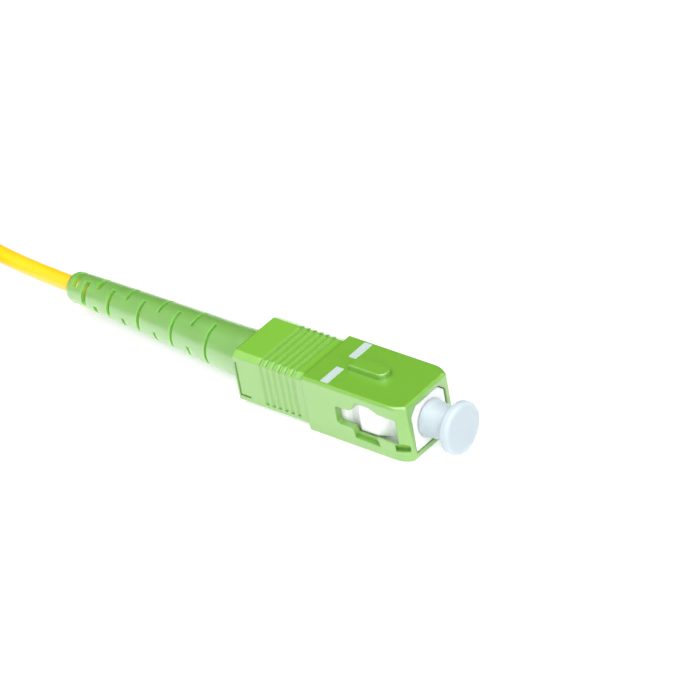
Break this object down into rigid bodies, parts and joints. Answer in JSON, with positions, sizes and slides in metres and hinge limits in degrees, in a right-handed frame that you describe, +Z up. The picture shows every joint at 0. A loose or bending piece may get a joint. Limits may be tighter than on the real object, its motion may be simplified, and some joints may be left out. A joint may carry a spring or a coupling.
{
  "type": "sc fibre connector",
  "caption": "Square push-pull fibre plug with sliding green grip sleeve, sprung angled ferrule, dust cap, slotted boot and a jacketed yellow pigtail tied in a hank.",
  "frame": {"origin": "on the face that the connector rests on, under the middle of the coupling sleeve's full-size front section", "axes": "+X along the optical axis towards the ferrule end, +Y to the plug's left, +Z up on the key side"},
  "size_m": [0.1239, 0.019, 0.0083],
  "materials": {
    "green_plastic": "satin moulded plastic with white printed bars",
    "green_boot": "soft matte elastomer",
    "white_plastic": "clean white moulding",
    "cap_plastic": "milky translucent polyethylene",
    "zirconia": "polished",
    "nickel": "turned and nickel plated",
    "spring_steel": "bright wire",
    "post_metal": "turned and plated",
    "crimp_metal": "satin",
    "guide_plastic": "natural",
    "yarn": "aramid strands",
    "yellow_jacket": "extruded jacket",
    "buffer_plastic": "smooth coating",
    "fibre_glass": "clear",
    "tie_plastic": "thin flat wrap"
  },
  "bodies": {
    "frame_and_cable": {"plug_frame": "white_plastic", "back_post": "post_metal", "inner_tube": "guide_plastic", "aramid_yarn": "yarn", "crimp_ring": "crimp_metal", "boot": "green_boot", "cable_jacket": "yellow_jacket", "tight_buffer": "buffer_plastic", "ferrule_spring": "spring_steel", "cable_lead": "yellow_jacket", "cable_hank": "yellow_jacket", "cable_tie": "tie_plastic"},
    "sleeve": {"coupling_sleeve": "green_plastic"},
    "ferrule_group": {"ferrule": "zirconia", "ferrule_flange": "nickel", "optical_fibre": "fibre_glass"},
    "cap": {"dust_cap": "cap_plastic"}
  },
  "joints": [
    {"name": "sleeve_slide", "type": "slide", "parent": "frame_and_cable", "child": "sleeve", "axis": [1, 0, 0], "range_m": [-0.0018, 0]},
    {"name": "ferrule_spring_slide", "type": "slide", "parent": "frame_and_cable", "child": "ferrule_group", "axis": [1, 0, 0], "range_m": [-0.001, 0], "stiffness_N_per_m": 1000, "deforming": ["ferrule_spring"]},
    {"name": "cap_slide", "type": "slide", "parent": "frame_and_cable", "child": "cap", "axis": [1, 0, 0], "range_m": [0, 0.012]}
  ]
}
